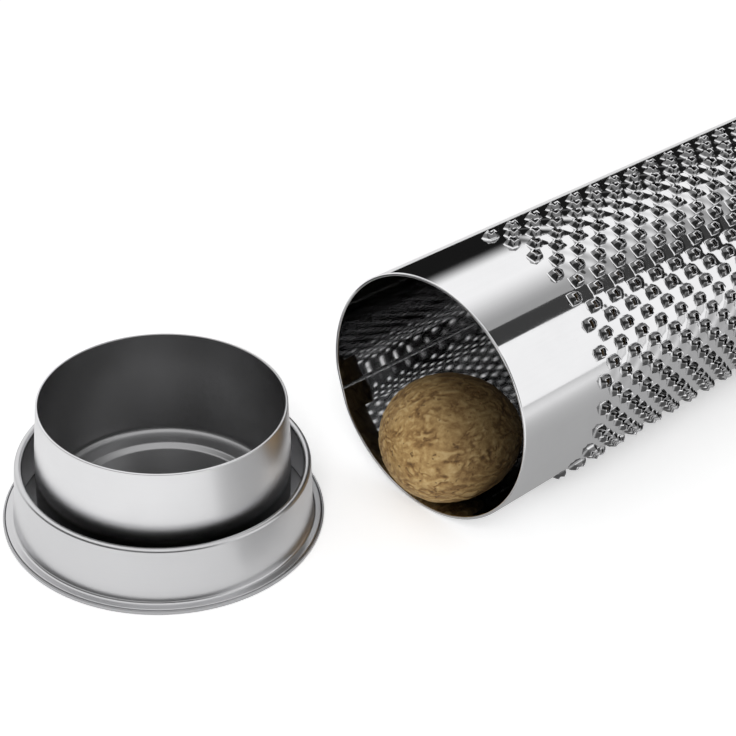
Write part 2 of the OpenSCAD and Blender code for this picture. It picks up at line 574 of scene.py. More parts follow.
@dataclass(frozen=True)
class NutmegShell:
    """Look of a dry, wrinkled nutmeg.

    Its colour runs from groove to pale, the higher the wrinkles stand. Painted shade darkens the flank that
    faces into the tube and the one beside the wall.
    """

    name: str
    slot: str
    groove: Colour
    ground: Colour
    vein: Colour
    pale: Colour
    roughness: float
    pit_spacing: float
    pit_depth: float
    flank_tone: float
    flank_from: float
    flank_full: float
    flank_side: float = -0.35
    flank_up: float = 0.4
    wall_ahead: float = 0.6
    wall_side: float = 0.8
    wall_from: float = 3.0
    wall_full: float = 8.0
    fine_spacing: float = 0.8
    patch_spacing: float = 6.0
    vein_share: float = 0.9
    fine_share: float = 0.7
    patch_share: float = 0.35
    level: float = 0.56
    stops: tuple[float, ...] = (0.05, 0.36, 0.62, 0.92)
    pit_from: float = 0.66
    pit_full: float = 0.74
    pit_share: float = 0.7
    fine_roughness: float = 0.2
    fine_relief: float = 2.0
    specular: float = 0.35

    def material(self, centre: Vector, turn: float) -> bpy.types.Material:
        """Makes the material.

        Args:
            centre: The nutmeg's middle, in metres.
            turn: Angle of its long axis from +X, in radians.

        Returns:
            The material.
        """
        surface = Surface(self.name, centre)
        graph = surface.graph
        ahead, side, up = graph.parts(surface.place)
        # Painted shade: the flank that faces into the tube and the one beside its wall turn darker.
        flank_shade = ahead + side * self.flank_side + up * self.flank_up
        flank_shade = graph.smooth(flank_shade, self.flank_from * MM, self.flank_full * MM)
        wall = ahead * self.wall_ahead + side * self.wall_side
        flank_shade = flank_shade.at_least(graph.smooth(wall, self.wall_from * MM, self.wall_full * MM))
        place = graph.turned(surface.place, -turn)
        vein = graph.attribute("vein")
        fine = graph.noise(place, self.fine_spacing, detail=5.0, roughness=0.7)
        patches = graph.noise(place, self.patch_spacing, detail=3.0)
        height = vein * self.vein_share + fine * self.fine_share + patches * self.patch_share - self.level
        stops = list(zip(self.stops, (self.groove, self.ground, self.vein, self.pale)))
        shaded_stops = [(at, tuple(self.flank_tone * part for part in colour)) for at, colour in stops]
        shade = graph.mix(flank_shade, graph.ramp(height, stops), graph.ramp(height, shaded_stops))
        pits = graph.smooth(graph.noise(place, self.pit_spacing, detail=1.0), self.pit_from, self.pit_full)
        shade = graph.mix(pits * self.pit_share, shade, self.groove)
        relief = (fine * self.fine_relief - pits + vein) * (self.pit_depth * MM)
        surface.shader["Specular IOR Level"].default_value = self.specular
        return surface.end(shade, self.roughness + fine * self.fine_roughness, relief)


def dress(piece: bpy.types.Object, material: bpy.types.Material, body: str, node: str) -> None:
    """Gives a piece its finish and its place in the frame.

    Args:
        piece: The piece.
        material: Its material.
        body: The body that it rides on.
        node: The node that it stands for.
    """
    piece.data.materials.clear()
    piece.data.materials.append(material)
    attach(piece, body)
    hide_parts(node)
    log.info("%s rides on %s: %d faces", piece.name, body, len(piece.data.polygons))


class PieceTree:
    """A Geometry Nodes tree with named inputs, whose first one takes the piece's own mesh."""

    def __init__(self, name: str, values: dict[str, object]) -> None:
        """Makes the tree and its inputs.

        Args:
            name: The tree's name.
            values: The value of each named input, whose type gives the input's kind.
        """
        self.values = values
        self.tree = bpy.data.node_groups.new(name, "GeometryNodeTree")
        self.graph = Graph(self.tree)
        kinds = {"Mesh": "Geometry", **{label: type(value).__name__ for label, value in values.items()}}
        for label, kind in kinds.items():
            socket_type = f"NodeSocket{kind.capitalize()}"
            self.tree.interface.new_socket(name=label, in_out="INPUT", socket_type=socket_type)
        self.tree.interface.new_socket(name="Geometry", in_out="OUTPUT", socket_type="NodeSocketGeometry")
        self.entry = self.graph.add("NodeGroupInput")

    def run(self, piece: bpy.types.Object, geometry: Flow) -> bpy.types.Mesh:
        """Ends the tree and runs it on an object.

        Args:
            piece: The object whose mesh goes in.
            geometry: The shape; what is left of instances becomes a mesh, and the mesh gets its material.

        Returns:
            The result as a plain mesh.
        """
        real = self.graph.add("GeometryNodeRealizeInstances", values={"Geometry": geometry})["Geometry"]
        dressed = {"Geometry": real, "Material": self.entry["Material"]}
        result = self.graph.add("GeometryNodeSetMaterial", values=dressed)["Geometry"]
        self.graph.add("NodeGroupOutput", values={"Geometry": result})
        modifier = piece.modifiers.new(self.tree.name, "NODES")
        modifier.node_group = self.tree
        for item in self.tree.interface.items_tree:
            if item.name in self.values:
                modifier[item.identifier] = self.values[item.name]
        evaluated = piece.evaluated_get(bpy.context.evaluated_depsgraph_get())
        mesh = bpy.data.meshes.new_from_object(evaluated)
        piece.modifiers.remove(modifier)
        return mesh


@dataclass(frozen=True)
class BurrRing:
    """Ring of points round a tooth.

    It has half its width and its height over the wall. Its corners can lie further in and lower than its
    sides, and the whole ring can lean away from the mouth. The rings that carry the lips' painted highlight
    have a share of 1.
    """

    half: float
    height: float
    corner_share: float = 1.0
    corner_drop: float = 0.0
    lean: float = 0.0
    lip: float = 0.0


@dataclass
class Teeth:
    """Field of punched teeth: lines along the tube, every other one half a pitch further in."""

    pitch: float = 4.73
    spacing: float = 2.13
    lines: int = 27
    in_a_line: int = 20
    first_ring: float = 17.0
    middle_angle: float = 68.0
    height: float = 1.2
    swell: float = 0.16
    unevenness: float = 0.07
    corner_unevenness: float = 0.6
    pull: float = 0.01
    seed: int = 7
    burr: tuple[BurrRing, ...] = (
        BurrRing(half=1.05, height=0.0, corner_share=0.92),
        BurrRing(half=0.98, height=0.16, corner_share=0.90, lean=0.04),
        BurrRing(half=0.86, height=0.64, corner_share=0.87, corner_drop=0.06, lean=0.14),
        BurrRing(half=0.69, height=1.18, corner_share=0.87, corner_drop=0.34, lean=0.26, lip=1.0),
        BurrRing(half=0.57, height=1.06, corner_share=0.87, corner_drop=0.34, lean=0.26, lip=1.0),
        BurrRing(half=0.76, height=0.05, corner_share=0.90, lean=0.04),
        BurrRing(half=0.95, height=-0.5, corner_share=0.88),
    )

    @property
    def start(self) -> float:
        """Distance from the mouth to the field's first edge."""
        return self.first_ring - self.pitch / 2

    @property
    def end(self) -> float:
        """Distance from the mouth to the field's last edge."""
        return self.start + (self.in_a_line + 0.5) * self.pitch

    def line_turn(self, radius: float) -> float:
        """Angle between neighbouring lines on a wall of this radius, in radians."""
        return self.spacing / radius

    def first_angle(self, radius: float) -> float:
        """Angle of the first line, in radians."""
        return math.radians(self.middle_angle) - (self.lines - 1) / 2 * self.line_turn(radius)

    def relief(self, graph: Graph, place: tuple[Flow, Flow, Flow], radius: float) -> Flow:
        """Low swelling of the sheet at each tooth, with a hollow between the teeth.

        Args:
            graph: The material's graph.
            place: Distance from the mouth, and the other two from the tube's axis.
            radius: The wall's radius.

        Returns:
            The swelling's height, in metres.
        """
        x, y, z = place
        first, last = self.first_ring, self.end - self.pitch / 2
        along = (x - first * MM) / (self.pitch * MM)
        line = ((y * -1.0).angle_from(z) - self.first_angle(radius)) * (radius / self.spacing)
        wave = (along * math.tau).cosine() * (line * math.pi).cosine()
        swell = wave * 0.5 * graph.smooth(x, first * MM, (first + self.pitch) * MM)
        swell = swell * graph.smooth(x, last * MM, (last - self.pitch) * MM)
        swell = swell * graph.smooth(line, -1.0, 0.0) * graph.smooth(line, self.lines, self.lines - 1)
        return swell * (self.swell * MM)


UNIT_RING = ((1, 0), (1, 1), (0, 1), (-1, 1), (-1, 0), (-1, -1), (0, -1), (1, -1))


@dataclass
class Tube:
    """The grating tube: one punched sheet, rolled and welded along a seam."""

    centre: Vector
    finish: SteelFinish
    teeth: Teeth
    length: float = 125.0
    radius: float = 19.0
    wall: float = 0.5
    rim_round: float = 0.18
    seam_angle: float = 248.0
    seam_width: float = 0.3
    seam_depth: float = 0.14
    seam_dip: float = 0.22
    dip_width: float = 4.5
    back_step: float = 3.2
    dip_step: float = 0.8
    sharp_angle: float = 58.0

    def seam_shape(self, angle: float, distance: float) -> tuple[float, float]:
        """Shape of the wall near the seam.

        Args:
            angle: Angle round the tube, in radians.
            distance: Distance from the mouth.

        Returns:
            Depth of the groove, and how far the sheet lies inside the true circle.
        """
        across = abs(angle - math.radians(self.seam_angle)) * self.radius
        groove = self.seam_depth * max(0.0, 1 - 2 * across / self.seam_width)
        bend = 0.5 + 0.5 * math.cos(math.pi * min(1.0, across / self.dip_width))
        fade = max(0.0, 1 - distance / self.length)
        return groove, self.seam_dip * bend * fade

    def on_wall(self, distance: float, angle: float, height: float) -> Vector:
        """A point near the wall.

        Args:
            distance: Distance from the mouth.
            angle: Angle round the tube, in radians.
            height: Height over the wall; a sheet's thickness below it is the bore.

        Returns:
            The point, in millimetres.
        """
        groove, dip = self.seam_shape(angle, distance)
        inside = height < -self.wall / 2
        radius = self.radius + height - dip + (groove if inside else -groove)
        return self.centre + Vector((distance, -radius * math.sin(angle), radius * math.cos(angle)))

    def field_angles(self) -> list[float]:
        """Angles of the points along the field's edge.

        Returns:
            The angles in radians, two for each line of teeth.
        """
        half_turn = self.teeth.line_turn(self.radius) / 2
        first = self.teeth.first_angle(self.radius) - half_turn
        return [first + half_turn * step for step in range(2 * self.teeth.lines + 1)]

    def back_angles(self) -> list[float]:
        """Angles of the points round the tube's back, denser near the seam.

        Returns:
            The angles in radians, from the field's last edge to its first.
        """
        field = self.field_angles()
        start, end = field[-1], field[0] + math.tau
        seam = math.radians(self.seam_angle)
        reach = self.dip_width / self.radius
        groove = self.seam_width / 2 / self.radius
        angles = spread(start, seam - reach, self.back_step)
        angles += spread(seam - reach, seam - groove, self.dip_step)[1:]
        angles += [seam]
        angles += spread(seam + groove, seam + reach, self.dip_step)
        angles += spread(seam + reach, end, self.back_step)[1:]
        return angles

    def tooth_cell(self) -> bpy.types.Object:
        """Makes one tooth with the wall round it.

        Returns:
            The cell, on the tube's top at the origin, in metres.
        """
        teeth = self.teeth
        outer = (teeth.pitch / 2, teeth.spacing / 2)
        rings = [[(u * outer[0], v * outer[1], 0.0) for u, v in UNIT_RING]]
        for ring in teeth.burr:
            points = []
            for u, v in UNIT_RING:
                corner = u != 0 and v != 0
                half = ring.half * (ring.corner_share if corner else 1.0)
                drop = ring.corner_drop if corner else 0.0
                points.append((u * half + ring.lean, v * half, ring.height - drop))
            rings.append(points)
        rings.append([(u * outer[0], v * outer[1], -self.wall) for u, v in UNIT_RING])
        cell = self.cell("tooth_cell", [(rings, True)])
        # Painted highlight: each ring's share marks where the lips' painted highlight lies.
        lip_highlights = cell.data.attributes.new("lip", "FLOAT", "POINT")
        shares = [0.0, *(ring.lip for ring in teeth.burr), 0.0]
        lip_highlights.data.foreach_set("value", [share for share in shares for _ in UNIT_RING])
        return cell

    def plain_cell(self) -> bpy.types.Object:
        """Makes half a cell without a tooth, which fills the end of a line.

        Returns:
            The cell, on the tube's top at the origin, in metres.
        """
        teeth = self.teeth
        rows = [0.0, teeth.pitch / 2]
        across = [-teeth.spacing / 2, 0.0, teeth.spacing / 2]
        skins = [([[(u, v, height) for v in across] for u in rows], False) for height in (0.0, -self.wall)]
        return self.cell("plain_cell", skins)

    def cell(self, name: str, grids: list[tuple[list, bool]]) -> bpy.types.Object:
        """Makes a small mesh on the tube's top.

        Args:
            name: The object's name.
            grids: Rows of points along, round and over the wall, and whether the rows are closed.

        Returns:
            The object, in metres.
        """
        shell = Shell()
        for rows, closed in grids:
            shell.grid([[self.curved(*point) for point in row] for row in rows], closed)
        return shell.finish(name, ALL_SMOOTH)

    def curved(self, along: float, round_wall: float, height: float) -> Vector:
        """A point of a cell, bent to the wall's curve."""
        angle, radius = round_wall / self.radius, self.radius + height
        return Vector((along, -radius * math.sin(angle), radius * math.cos(angle)))

    def toothed_mesh(self, material: bpy.types.Material) -> bpy.types.Mesh:
        """Lays the teeth on the tube.

        Args:
            material: The tube's material.

        Returns:
            The toothed stretch of the wall, in metres.
        """
        teeth = self.teeth
        cell, plain = self.tooth_cell(), self.plain_cell()
        tree = PieceTree("tooth_field", {
            "Plain cell": plain,
            "Lines": teeth.lines,
            "Teeth in a line": teeth.in_a_line,
            "Pitch": teeth.pitch * MM,
            "Line turn": teeth.line_turn(self.radius),
            "First angle": teeth.first_angle(self.radius),
            "First tooth": (self.centre + Vector((teeth.first_ring, 0, 0))) * MM,
            "Wall radius": self.radius * MM,
            "Tooth height": teeth.height * MM,
            "Unevenness": teeth.unevenness * MM,
            "Corner unevenness": teeth.corner_unevenness,
            "Pull": teeth.pull,
            "Seed": teeth.seed,
            "Material": material,
        })
        graph, entry = tree.graph, tree.entry
        index = graph.add("GeometryNodeInputIndex")["Index"]
        first_x, *axis = graph.parts(entry["First tooth"])

        def laid(cells: Flow, count: Flow, along: Flow, line: Flow, numbered: bool) -> Flow:
            """Lays cells on the wall.

            Args:
                cells: The cell's mesh.
                count: Number of cells.
                along: Each cell's place along +X.
                line: Each cell's line.
                numbered: Whether each cell keeps its number as an attribute.

            Returns:
                The cells as instances.
            """
            values = {"Count": count, "Position": graph.vector(along, *axis)}
            points = graph.add("GeometryNodePoints", values=values)[0]
            turn = graph.vector(entry["First angle"] + line * entry["Line turn"], 0.0, 0.0)
            turn = graph.add("FunctionNodeEulerToRotation", values={0: turn})[0]
            if numbered:
                points = graph.kept("INT", points, "tooth", index)
            values = {"Points": points, "Instance": cells, "Rotation": turn}
            return graph.add("GeometryNodeInstanceOnPoints", values=values)["Instances"]

        line = (index / entry["Teeth in a line"]).floor()
        tooth = index - line * entry["Teeth in a line"]
        along = first_x + (tooth + (line % 2) * 0.5) * entry["Pitch"]
        count = entry["Lines"] * entry["Teeth in a line"]
        burrs = laid(entry["Mesh"], count, along, line, numbered=True)
        burrs = graph.add("GeometryNodeRealizeInstances", values={"Geometry": burrs})["Geometry"]
        burrs = self.uneven(graph, burrs, axis, entry)

        last = first_x + (entry["Teeth in a line"] - 0.5) * entry["Pitch"]
        before = first_x - 0.5 * entry["Pitch"]
        plain_cells = graph.add("GeometryNodeObjectInfo", values={"Object": entry["Plain cell"]})["Geometry"]
        along = last + (index % 2) * (before - last)
        ends = laid(plain_cells, entry["Lines"], along, index, numbered=False)

        joined = graph.add("GeometryNodeJoinGeometry")
        for part in (ends, burrs):
            graph.tree.links.new(part.socket, joined.node.inputs[0])
        mesh = tree.run(cell, joined["Geometry"])
        for part in (cell, plain):
            bpy.data.objects.remove(part)
        return mesh

    @staticmethod
    def uneven(graph: Graph, burrs: Flow, axis: list[Flow], entry: Step) -> Flow:
        """Bends each tooth a little, the more the higher a point stands over the wall.

        Args:
            graph: The tree's graph.
            burrs: The teeth's mesh.
            axis: The tube's axis.
            entry: The tree's inputs.

        Returns:
            The mesh with uneven teeth.
        """
        _, y, z = graph.parts(graph.add("GeometryNodeInputPosition")["Position"])
        side, up = y - axis[0], z - axis[1]
        over = (side * side + up * up) ** 0.5 - entry["Wall radius"]
        share = (over / entry["Tooth height"]).at_least(0.0).at_most(1.0)
        tooth = graph.add("GeometryNodeInputNamedAttribute", {"data_type": "INT"}, {"Name": "tooth"})
        corner = graph.add("GeometryNodeInputIndex")
        shifts = []
        for number, seed in ((tooth["Attribute"], entry["Seed"]), (corner["Index"], entry["Seed"] + 1)):
            values = {"Min": (-1, -1, -1), "Max": (1, 1, 1), "ID": number, "Seed": seed}
            random = graph.add("FunctionNodeRandomValue", {"data_type": "FLOAT_VECTOR"}, values)
            shifts.append(random["Value"])
        shift = graph.vectors("ADD", shifts[0], graph.vectors("SCALE", shifts[1], entry["Corner unevenness"]))
        shift = graph.vectors("SCALE", shift, share * entry["Unevenness"])
        inward = graph.vector(0.0, side * (0.0 - entry["Pull"]), up * (0.0 - entry["Pull"]))
        shift = graph.vectors("ADD", shift, graph.vectors("SCALE", inward, share))
        return graph.add("GeometryNodeSetPosition", values={"Geometry": burrs, "Offset": shift})["Geometry"]

    def plain_wall(self, shell: Shell) -> None:
        """Adds the plain rings at both ends and the plain strip round the back.

        Args:
            shell: The shell that they are added to.
        """
        field, back = self.field_angles(), self.back_angles()
        around = field + back[1:-1]
        teeth, inner = self.teeth, -self.wall
        for start, end in ((teeth.start, 0.0), (teeth.end, self.length)):
            edges = [Corner(end, height, self.rim_round) for height in (0.0, inner)]
            ring = [Corner(start, 0.0), *edges, Corner(start, inner)]
            rows = [
                [self.on_wall(distance, angle, height) for angle in around]
                for distance, height in rounded(ring, closed=False, turn_step=15)
            ]
            shell.grid(rows, closed=True)
        stations = [teeth.start + teeth.pitch / 2 * step for step in range(2 * teeth.in_a_line + 2)]
        for height in (0.0, inner):
            shell.grid([[self.on_wall(s, angle, height) for angle in back] for s in stations], closed=False)

    def true_normals(self, mesh: bpy.types.Mesh) -> None:
        """Gives the plain wall the normals of a true cylinder, so that its reflections run straight.

        Args:
            mesh: The tube's mesh.
        """
        normals = [corner.vector.copy() for corner in mesh.corner_normals]
        for face in mesh.polygons:
            spokes = [(mesh.vertices[number].co / MM - self.centre).yz for number in face.vertices]
            for radius, sense in ((self.radius, 1.0), (self.radius - self.wall, -1.0)):
                if all(abs(spoke.length - radius) < WELD_DISTANCE for spoke in spokes):
                    for corner, spoke in zip(face.loop_indices, spokes):
                        normals[corner] = Vector((0.0, *(spoke * sense))).normalized()
        mesh.normals_split_custom_set(normals)

    def build(self) -> None:
        """Builds and dresses the tube."""
        material = self.finish.material(self.centre * MM, self.teeth)
        shell = Shell()
        shell.add_mesh(self.toothed_mesh(material))
        self.plain_wall(shell)
        shell.weld()
        piece = shell.finish("tube_shell", self.sharp_angle)
        self.true_normals(piece.data)
        dress(piece, material, "tube", "grating_tube")


def spread(start: float, end: float, step: float) -> list[float]:
    """Even angles between two angles.

    Args:
        start: First angle, in radians.
        end: Last angle, in radians.
        step: Greatest step, in degrees.

    Returns:
        The angles, with both ends.
    """
    count = max(1, math.ceil(math.degrees(end - start) / step))
    return [start + (end - start) * index / count for index in range(count + 1)]


@dataclass
class EndCap:
    """Plug cap that closes the tube's far end."""

    centre: Vector
    finish: SteelFinish
    tube_radius: float = 19.0
    collar_radius: float = 18.45
    sheet: float = 0.5
    depth: float = 6.0
    crown: float = 1.5
    crown_steps: int = 14
    edge: float = 0.2
    foot: float = 0.1
    fillet: float = 0.3

    def crown_line(self, low: float) -> list[Corner]:
        """Arc of the crown, from the axis to the collar.

        Args:
            low: Height of the crown's edge over the tube's end.

        Returns:
            The arc's corners.
        """
        radius = (self.collar_radius**2 + self.crown**2) / (2 * self.crown)
        reach = self.collar_radius - self.sheet
        steps = [reach * step / self.crown_steps for step in range(self.crown_steps + 1)]
        top = low + self.crown - radius
        return [Corner(across, top + math.sqrt(radius**2 - across**2)) for across in steps]

    def build(self) -> None:
        """Builds and dresses the cap."""
        inner = self.collar_radius - self.sheet
        outside = self.crown_line(self.sheet)
        inside = self.crown_line(0.0)[-2::-1]
        collar = [
            Corner(self.tube_radius, self.sheet, self.edge),
            Corner(self.tube_radius, 0.0, self.foot),
            Corner(self.collar_radius, 0.0, self.foot),
            Corner(self.collar_radius, -self.depth, self.edge),
            Corner(inner, -self.depth, self.edge),
            Corner(inner, 0.0, self.fillet),
        ]
        outline = rounded(outside + collar + inside, closed=False)
        piece = turned("end_cap_disc", outline, self.centre, closed=False, lies_along_x=True)
        dress(piece, self.finish.material(self.centre * MM), "tube", "end_cap")


@dataclass
class Lid:
    """Lift-off lid: a base plate with an upturned hem, a flared skirt and a cup that plugs into the tube."""

    centre: Vector
    base_finish: SteelFinish
    skirt_finish: SteelFinish
    cup_finish: SteelFinish
    height: float = 19.5
    sheet: float = 0.4
    plate: float = 0.3
    hem: float = 0.3
    hem_gap: float = 0.05
    hem_edge: float = 0.13
    hem_fold: float = 0.22
    hem_inside: float = 0.1
    base_radius: float = 23.4
    skirt_foot: float = 21.8
    skirt_top: float = 21.3
    skirt_height: float = 9.5
    bead: float = 1.1
    bead_turn: float = 270.0
    bead_steps: int = 24
    bead_foot: float = 0.1
    flange_inside: float = 0.25
    flange_foot: float = 0.08
    flange_edge: float = 0.18
    flange_fillet: float = 0.45
    cup_radius: float = 18.4
    rim_draw: float = 0.7
    rim_height: float = 9.0
    rim_bend: float = 60.0
    floor_radius: float = 14.8
    floor_step: float = 0.7
    floor_round: float = 1.6
    floor_bend: float = 0.5
    edge: float = 0.16

    def base_plate(self) -> bpy.types.Object:
        """Makes the flat plate with its hem turned up round the flange.

        Returns:
            The plate.
        """
        top = self.plate + self.sheet
        inner = self.base_radius - self.hem
        outline = rounded([
            Corner(0, 0),
            Corner(self.base_radius, 0, self.hem_fold),
            Corner(self.base_radius, top, self.hem_edge),
            Corner(inner, top, self.hem_edge),
            Corner(inner, self.plate, self.hem_inside),
            Corner(0, self.plate),
        ], closed=False)
        return turned("lid_base_plate", outline, self.centre, closed=False)

    def skirt(self) -> bpy.types.Object:
        """Makes the flared skirt with a flange at its foot and a rolled bead at its top.

        Returns:
            The skirt.
        """
        flange = self.base_radius - self.hem - self.hem_gap
        top = self.plate + self.sheet
        bead_radius = self.bead / 2
        bead_centre = (self.skirt_top - bead_radius, self.skirt_height - bead_radius)
        outline = rounded([
            Corner(self.skirt_foot - self.sheet, self.plate, self.flange_inside),
            Corner(flange, self.plate, self.flange_foot),
            Corner(flange, top, self.flange_edge),
            Corner(self.skirt_foot, top, self.flange_fillet),
            *arc(bead_centre, bead_radius, self.bead_turn, self.bead_steps),
            Corner(self.skirt_top - self.sheet, self.skirt_height - self.bead, self.bead_foot),
        ], closed=True)
        return turned("lid_skirt_ring", outline, self.centre, closed=True)

    def cup_line(self, inset: float) -> list[Corner]:
        """Half section line of the cup's sheet, from the middle of its floor to its rim.

        Args:
            inset: Distance of the line inside the cup's outer face.

        Returns:
            The line's corners.
        """
        low = self.plate + inset
        border = low + self.floor_step
        wall = self.cup_radius - inset
        return [
            Corner(0, low),
            Corner(self.floor_radius - self.floor_step, low, self.floor_bend),
            Corner(self.floor_radius, border, self.floor_bend),
            Corner(wall, border, self.floor_round - inset),
            Corner(wall, self.height - self.rim_height, self.rim_bend),
            Corner(wall - self.rim_draw, self.height, self.edge),
        ]

    def cup(self) -> bpy.types.Object:
        """Drawn cup with a recessed floor."""
        outline = rounded(self.cup_line(0.0) + self.cup_line(self.sheet)[::-1], closed=False)
        return turned("lid_cup_shell", outline, self.centre, closed=False)

    def build(self) -> None:
        """Builds and dresses the lid's three pieces."""
        pieces = {
            "lid_base": (self.base_plate(), self.base_finish),
            "lid_skirt": (self.skirt(), self.skirt_finish),
            "lid_cup": (self.cup(), self.cup_finish),
        }
        for node, (piece, finish) in pieces.items():
            dress(piece, finish.material(self.centre * MM), "lid", node)


@dataclass
class Nutmeg:
    """Egg-shaped, wrinkled kernel that lies in the mouth."""

    centre: Vector
    finish: NutmegShell
    length: float = 21.8
    diameter: float = 19.5
    turn: float = -28.0
    fullness: float = 0.06
    rings: int = 220
    around: int = 330
    vein_spacing: float = 2.2
    vein_depth: float = 0.26
    vein_stretch: float = 0.4
    vein_level: float = 0.58
    furrow_share: float = 0.42
    furrow_sharpness: float = 7.0
    fork_fineness: float = 0.5
    fork_share: float = 0.26
    fork_sharpness: float = 3.5
    grain_fineness: float = 0.3
    grain_share: float = 0.5
    break_spacing: float = 3.5
    break_from: float = 0.3
    break_full: float = 0.65
    warp_spacing: float = 6.0
    warp_reach: float = 4.0
    lump_spacing: float = 7.0
    lump_depth: float = 0.35
    lump_top: float = 0.8

    def egg(self) -> bpy.types.Object:
        """Makes the smooth kernel.

        Returns:
            The kernel.
        """
        turn = Matrix.Rotation(math.radians(self.turn), 3, "Z")
        rows = []
        for ring in range(self.rings + 1):
            angle = math.pi * ring / self.rings
            across = self.diameter / 2 * math.sin(angle) * (1 + self.fullness * math.cos(angle))
            along = -self.length / 2 * math.cos(angle)
            spokes = [math.tau * step / self.around for step in range(self.around)]
            rows.append([
                self.centre + turn @ Vector((along, across * math.sin(spoke), across * math.cos(spoke)))
                for spoke in spokes
            ])
        shell = Shell()
        shell.grid(rows, closed=True)
        shell.weld()
        return shell.finish("nutmeg_kernel", ALL_SMOOTH)

    def skin(self, piece: bpy.types.Object, material: bpy.types.Material) -> bpy.types.Mesh:
        """Wrinkles the kernel and keeps the height of its veins as an attribute.

        Args:
            piece: The smooth kernel.
            material: The nutmeg's material.

        Returns:
            The wrinkled mesh.
        """
        tree = PieceTree("nutmeg_skin", {
            "Middle": self.centre * MM,
            "Turn": math.radians(self.turn),
            "Vein depth": self.vein_depth * MM,
            "Lump depth": self.lump_depth * MM,
            "Material": material,
        })
        graph, entry = tree.graph, tree.entry
        place = graph.add("GeometryNodeInputPosition")["Position"]
        place = graph.turned(graph.vectors("SUBTRACT", place, entry["Middle"]), 0.0 - entry["Turn"])
        warp = {"Vector": place, "Scale": 1 / (self.warp_spacing * MM), "Detail": 3.0}
        warp = graph.add("ShaderNodeTexNoise", values=warp)["Color"]
        warp = graph.vectors("SCALE", graph.vectors("SUBTRACT", warp, (0.5, 0.5, 0.5)), self.warp_reach * MM)
        x, y, z = graph.parts(graph.vectors("ADD", place, warp))
        stretched = graph.vector(x * self.vein_stretch, y, z)
        broken = graph.noise(place, self.break_spacing, detail=2.0)
        furrow = self.lines(graph.noise(stretched, self.vein_spacing, detail=3.0), self.furrow_sharpness)
        furrow = furrow * graph.smooth(broken, self.break_from, self.break_full)
        fork = graph.noise(stretched, self.vein_spacing * self.fork_fineness, detail=2.0)
        fork = self.lines(fork, self.fork_sharpness)
        grain = graph.noise(stretched, self.vein_spacing * self.grain_fineness, detail=3.0)
        lump = graph.noise(place, self.lump_spacing, detail=2.0).at_most(self.lump_top) - self.lump_top
        vein = self.vein_level + grain * self.grain_share - furrow * self.furrow_share
        vein = (vein - fork * self.fork_share).at_least(0.0).at_most(1.0)
        depth = (vein - 1.0) * entry["Vein depth"] + lump * entry["Lump depth"]
        kept = graph.kept("FLOAT", entry["Mesh"], "vein", vein)
        normal = graph.add("GeometryNodeInputNormal")["Normal"]
        moved = {"Geometry": kept, "Offset": graph.vectors("SCALE", normal, depth)}
        return tree.run(piece, graph.add("GeometryNodeSetPosition", values=moved)["Geometry"])

    @staticmethod
    def lines(noise: Flow, sharpness: float) -> Flow:
        """Thin lines where a noise passes its middle."""
        return (1 - abs(noise * 2.0 - 1.0) * sharpness).at_least(0.0)

    def build(self) -> None:
        """Builds and dresses the nutmeg."""
        material = self.finish.material(self.centre * MM, math.radians(self.turn))
        piece = self.egg()
        piece.data = self.skin(piece, material)
        dress(piece, material, "nutmeg", "nutmeg")


@dataclass(frozen=True)
class Card:
    """Card beside the object, which shows only in its reflections."""

    name: str
    middle: Point3
    facing: Point3
    along: Point3
    length: float
    width: float
    tone: float
    opacity: float = 1.0
    soft_edges: tuple[float, float] = (0.0, 0.0)
    hard_edge: float = 0.001
    steps: int = 16

    def material(self) -> bpy.types.Material:
        """Makes a plain paint that fades out towards the card's soft edges.

        Returns:
            The material.
        """
        material = bpy.data.materials.new(self.name)
        material.use_nodes = True
        material.node_tree.nodes.clear()
        graph = Graph(material.node_tree)
        across = graph.parts(graph.attribute("share", "Vector"))[0]
        low, high = (max(edge, self.hard_edge) for edge in self.soft_edges)
        solid = graph.smooth(across, -self.hard_edge, low) * graph.smooth(1 - across, -self.hard_edge, high)
        paint = graph.add("ShaderNodeEmission", values={"Color": (self.tone,) * 3, "Strength": 1.0})
        clear = graph.add("ShaderNodeBsdfTransparent")
        mixed = graph.add("ShaderNodeMixShader", values={0: solid * self.opacity, 1: clear[0], 2: paint[0]})
        graph.add("ShaderNodeOutputMaterial", values={"Surface": mixed[0]})
        return material

    def build(self, origin: Vector) -> None:
        """Builds the card.

        Args:
            origin: The point that its place is measured from, in millimetres.
        """
        along = Vector(self.along).normalized()
        across = Vector(self.facing).normalized().cross(along)
        middle = origin + Vector(self.middle)
        shares = [step / self.steps for step in range(self.steps + 1)]
        shell = Shell()
        shell.grid([
            [middle + along * self.length * end + across * self.width * (share - 0.5) for share in shares]
            for end in (-0.5, 0.5)
        ], closed=False)
        card = shell.finish(self.name, ALL_SMOOTH)
        kept = card.data.attributes.new("share", "FLOAT_VECTOR", "POINT")
        for number, value in enumerate(kept.data):
            value.vector = (shares[number % len(shares)], 0.0, 0.0)
        card.data.materials.append(self.material())
        for ray in ("camera", "diffuse", "shadow", "transmission"):
            setattr(card, f"visible_{ray}", False)


@dataclass(frozen=True)
class Lamp:
    """Soft square lamp that lights the object but does not show in it."""

    name: str
    place: Point3
    aim: Point3
    size: float
    watts: float

    def build(self) -> None:
        """Builds the lamp."""
        light = bpy.data.lights.new(self.name, "AREA")
        light.size = self.size * MM
        light.energy = self.watts
        lamp = bpy.data.objects.new(self.name, light)
        bpy.context.scene.collection.objects.link(lamp)
        lamp.location = Vector(self.place) * MM
        lamp.rotation_euler = (Vector(self.aim) - Vector(self.place)).to_track_quat("-Z", "Y").to_euler()
        lamp.visible_glossy = False


